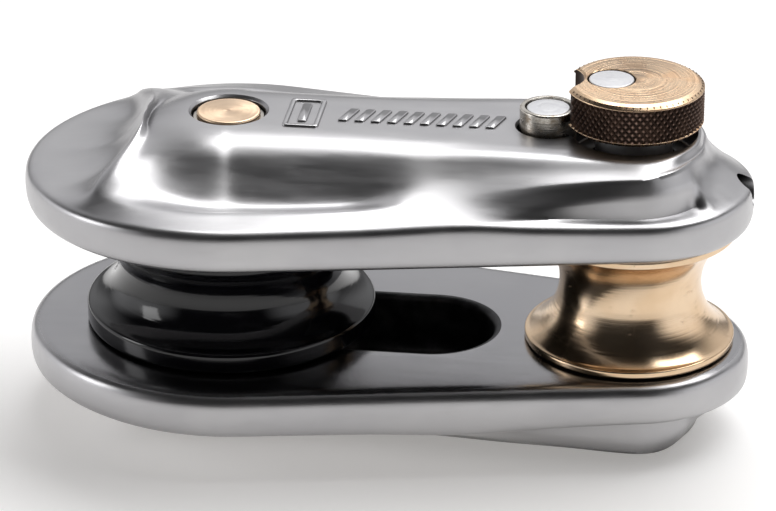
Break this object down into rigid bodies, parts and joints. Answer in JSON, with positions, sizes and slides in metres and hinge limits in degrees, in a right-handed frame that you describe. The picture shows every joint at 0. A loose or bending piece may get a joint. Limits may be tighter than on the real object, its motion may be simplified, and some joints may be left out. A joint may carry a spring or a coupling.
{
  "type": "double sheave block",
  "caption": "Rigging block with opening sculpted steel cheeks, a black rope sheave, a bronze sling spool, and a knurled locking pin held by a push button",
  "frame": {"origin": "centre of the footprint at the height of the flat underside of the lower cheek", "axes": "+X from the rope sheave to the sling spool, +Z from the lower to the upper cheek, along every axle"},
  "size_m": [0.139, 0.0746, 0.0709],
  "materials": {
    "cheek_steel": "satin bead-blasted and polished stainless steel",
    "black_anodised": "black anodised aluminium, turned and glossy",
    "polished_bronze": "polished bronze, faint turning lines",
    "bronze": "satin bronze",
    "aged_bronze": "dark aged bronze, turned face and diamond knurl",
    "steel": "turned stainless steel",
    "satin_steel": "pale satin steel"
  },
  "bodies": {
    "lower_cheek": {"lower_cheek_plate": "cheek_steel", "sheave_axle": "bronze", "axle_snap_ring_lower": "steel", "axle_snap_ring_upper": "steel", "spool_post": "steel", "post_snap_ring": "steel", "sheave_thrust_washer_lower": "bronze", "sheave_thrust_washer_upper": "bronze", "spool_thrust_washer_lower": "steel", "spool_thrust_washer_upper": "steel"},
    "rope_sheave": {"rope_sheave": "black_anodised", "sheave_bush": "bronze"},
    "sling_spool": {"sling_spool": "polished_bronze"},
    "upper_cheek": {"upper_cheek_plate": "cheek_steel", "cheek_swing_bush": "bronze", "pin_guide_bush": "bronze", "button_bore_plug": "steel", "lock_button_spring": "steel"},
    "locking_pin": {"locking_pin": "steel", "pin_retaining_ring": "steel", "pin_collar": "satin_steel", "thumb_knob": "aged_bronze", "knob_dowel_disc": "satin_steel"},
    "lock_button": {"lock_button_sleeve": "steel", "lock_button_core": "satin_steel"}
  },
  "joints": [
    {"name": "sheave_spin", "type": "hinge", "parent": "lower_cheek", "child": "rope_sheave", "pos_m": [-0.0305, 0, 0], "axis": [0, 0, 1], "continuous": true},
    {"name": "spool_spin", "type": "hinge", "parent": "lower_cheek", "child": "sling_spool", "pos_m": [0.0465, 0, 0], "axis": [0, 0, 1], "continuous": true},
    {"name": "cheek_swing", "type": "hinge", "parent": "lower_cheek", "child": "upper_cheek", "pos_m": [-0.0305, 0, 0], "axis": [0, 0, 1], "range_deg": [-120, 120]},
    {"name": "pin_lift", "type": "slide", "parent": "upper_cheek", "child": "locking_pin", "axis": [0, 0, 1], "range_m": [0, 0.007]},
    {"name": "button_press", "type": "slide", "parent": "upper_cheek", "child": "lock_button", "axis": [0, 0, -1], "range_m": [0, 0.003], "stiffness_N_per_m": 800, "springref_m": -0.002, "deforming": ["lock_button_spring"]}
  ]
}
